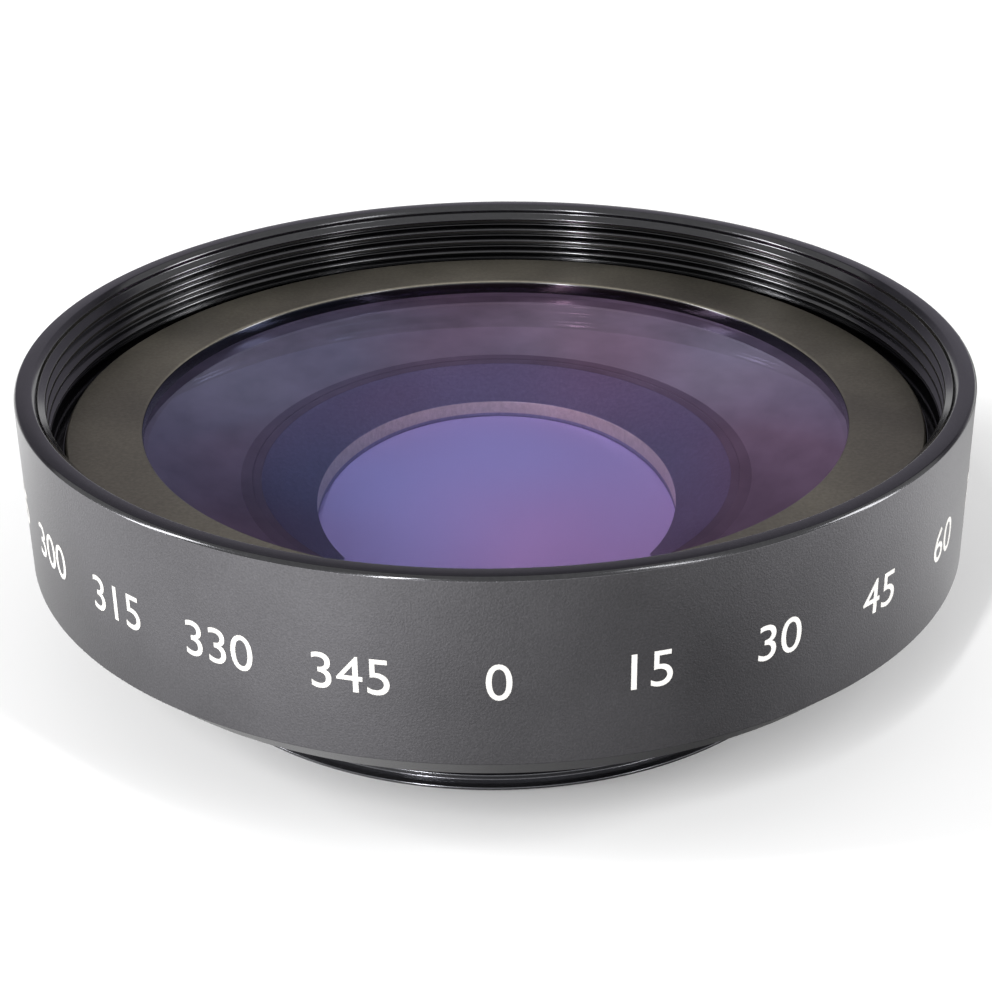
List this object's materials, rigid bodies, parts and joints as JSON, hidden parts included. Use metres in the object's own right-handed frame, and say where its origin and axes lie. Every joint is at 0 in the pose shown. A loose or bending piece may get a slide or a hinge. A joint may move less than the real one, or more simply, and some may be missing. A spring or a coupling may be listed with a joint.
{
  "type": "wide-angle conversion lens",
  "caption": "Low-profile screw-on wide-angle conversion lens: short round barrel, coated glass, front filter thread and rear mounting thread.",
  "frame": {"origin": "centre of the rear end of the mounting thread, on the optical axis", "axes": "+Z along the optical axis, from the camera towards the subject"},
  "size_m": [0.0514, 0.0514, 0.0161],
  "materials": {
    "barrel_anodised": "black anodised over fine bead blasting",
    "ring_anodised": "matte black anodised",
    "cell_anodised": "matte black anodised",
    "mount_anodised": "gloss black anodised, turned",
    "number_paint": "white paint in the engraved numbers",
    "coated_glass": "polished, with a purple anti-reflection coating",
    "cemented_glass": "polished and cemented"
  },
  "bodies": {
    "root": {"main_barrel": "barrel_anodised", "front_retaining_ring": "ring_anodised", "front_element": "coated_glass", "inner_element": "cemented_glass", "rear_cell": "cell_anodised", "rear_element": "coated_glass", "rear_retaining_ring": "cell_anodised", "mount_ring": "mount_anodised"}
  },
  "joints": []
}
